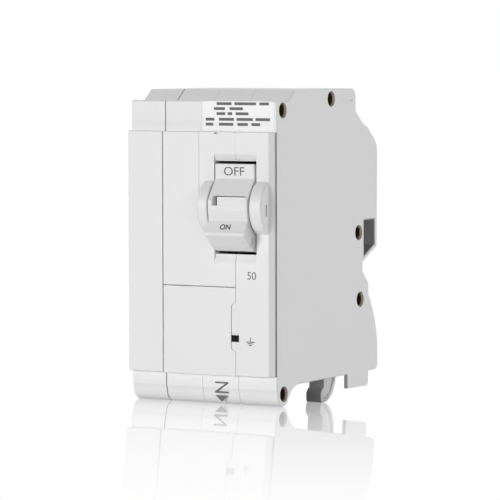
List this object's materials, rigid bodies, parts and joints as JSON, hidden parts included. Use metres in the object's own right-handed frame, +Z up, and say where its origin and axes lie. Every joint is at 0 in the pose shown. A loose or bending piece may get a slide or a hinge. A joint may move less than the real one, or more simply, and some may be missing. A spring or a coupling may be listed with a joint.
{
  "type": "ground fault circuit breaker",
  "caption": "Two-pole plug-on ground fault circuit breaker with one toggle handle, a trip flag, rear stab jaws, load jaws and rail hooks.",
  "frame": {"origin": "bottom centre of the bounding box, at the height of the underside of the rail hooks", "axes": "+Z up the long side of the case, +Y back towards the bus stabs, X across the two poles; the handle faces -Y"},
  "size_m": [0.0508, 0.075, 0.0988],
  "materials": {
    "case_plastic": "fine moulded satin",
    "label": "printed sticker",
    "rivet_brass": "dark bronze",
    "handle_plastic": "satin",
    "hook_plastic": "fine moulded satin",
    "flag_black": "black",
    "slide_plastic": "white moulding",
    "pin_steel": "zinc plated",
    "spring_steel": "bright wire",
    "copper": "copper",
    "silver": "silver",
    "bimetal": "rolled",
    "shield_grey": "dark grey moulding",
    "dark_moulding": "black phenolic",
    "fibre": "red fibre",
    "board": "green board",
    "toroid_case": "taped core",
    "bobbin": "nylon",
    "magnet_wire": "enamelled wire",
    "component_blue": "epoxy dip",
    "capacitor_sleeve": "shrink sleeve"
  },
  "bodies": {
    "case": {"left_cover": "case_plastic", "left_center_housing": "case_plastic", "right_center_housing": "case_plastic", "right_cover": "case_plastic", "lower_front_plate": "case_plastic", "rating_label": "label", "case_rivets": "rivet_brass", "rail_hook_left": "hook_plastic", "rail_hook_right": "hook_plastic", "cradle_pin": "pin_steel", "arc_plates": "pin_steel", "magnet_yoke_a": "pin_steel", "magnet_yoke_b": "pin_steel", "solenoid_frame": "pin_steel", "opening_spring": "spring_steel", "plunger_spring": "spring_steel", "jaw_springs": "spring_steel", "spring_post": "spring_steel", "line_straps": "copper", "line_jaw_a": "copper", "line_jaw_b": "copper", "load_straps": "copper", "load_jaw_a": "copper", "load_jaw_b": "copper", "neutral_jaw": "copper", "braid_a": "copper", "braid_b": "copper", "test_contact_leaf": "copper", "stationary_contacts": "silver", "bimetals": "bimetal", "window_shield": "shield_grey", "test_contact_block": "dark_moulding", "control_chip": "dark_moulding", "arc_sides": "fibre", "circuit_board": "board", "sensing_toroid": "toroid_case", "grounding_toroid": "toroid_case", "solenoid_bobbin": "bobbin", "solenoid_coil": "magnet_wire", "varistor": "component_blue", "resistors": "component_blue", "capacitor": "capacitor_sleeve"},
    "handle": {"handle": "handle_plastic", "handle_pin": "pin_steel", "upper_link_pin": "pin_steel"},
    "link": {"toggle_link": "pin_steel"},
    "crossbar": {"contact_crossbar": "dark_moulding", "crossbar_shaft": "pin_steel", "contact_arm_a": "copper", "contact_arm_b": "copper", "moving_contacts": "silver", "lower_link_pin": "pin_steel"},
    "trip_bar": {"trip_bar": "dark_moulding", "trip_bar_shaft": "pin_steel"},
    "cradle": {"latch_cradle": "pin_steel"},
    "plunger": {"solenoid_plunger": "pin_steel"},
    "indicator": {"indicator_slide": "slide_plastic", "trip_flag": "flag_black"},
    "armature_a": {"armature_a": "pin_steel"},
    "armature_b": {"armature_b": "pin_steel"}
  },
  "joints": [
    {"name": "handle_toggle", "type": "hinge", "parent": "case", "child": "handle", "pos_m": [0.0122, -0.02645, 0.0636], "axis": [-1, 0, 0], "range_deg": [0, 32]},
    {"name": "link_swing", "type": "hinge", "parent": "handle", "child": "link", "pos_m": [0.0124, -0.02145, 0.0701], "axis": [1, 0, 0], "range_deg": [0, 34.3]},
    {"name": "crossbar_turn", "type": "hinge", "parent": "case", "child": "crossbar", "pos_m": [0, -0.00885, 0.0556], "axis": [-1, 0, 0], "range_deg": [0, 29.6], "deforming": ["opening_spring", "braid_a", "braid_b"]},
    {"name": "trip_bar_turn", "type": "hinge", "parent": "case", "child": "trip_bar", "pos_m": [0, -0.00185, 0.0416], "axis": [1, 0, 0], "range_deg": [0, 10]},
    {"name": "cradle_turn", "type": "hinge", "parent": "case", "child": "cradle", "pos_m": [0.006, -0.01985, 0.0476], "axis": [1, 0, 0], "range_deg": [0, 8]},
    {"name": "plunger_slide", "type": "slide", "parent": "case", "child": "plunger", "axis": [0, 1, 0], "range_m": [0, 0.001], "stiffness_N_per_m": 100, "deforming": ["plunger_spring"]},
    {"name": "flag_slide", "type": "slide", "parent": "case", "child": "indicator", "axis": [0, 0, 1], "range_m": [0, 0.00701]},
    {"name": "armature_a_swing", "type": "hinge", "parent": "case", "child": "armature_a", "pos_m": [-0.013, 0.00585, 0.021], "axis": [-1, 0, 0], "range_deg": [0, 3.5], "stiffness_Nm_per_rad": 0.01},
    {"name": "armature_b_swing", "type": "hinge", "parent": "case", "child": "armature_b", "pos_m": [0.0124, 0.00585, 0.021], "axis": [-1, 0, 0], "range_deg": [0, 3.5], "stiffness_Nm_per_rad": 0.01}
  ],
  "couplings": [
    {"joint": "link_swing", "follows": "handle_toggle", "ratio": 1.0681},
    {"joint": "crossbar_turn", "follows": "handle_toggle", "ratio": 0.9229},
    {"joint": "cradle_turn", "follows": "plunger_slide", "rad_per_m": 139.6},
    {"joint": "trip_bar_turn", "follows": "plunger_slide", "rad_per_m": 174.5},
    {"joint": "flag_slide", "follows": "plunger_slide", "ratio": 7}
  ]
}
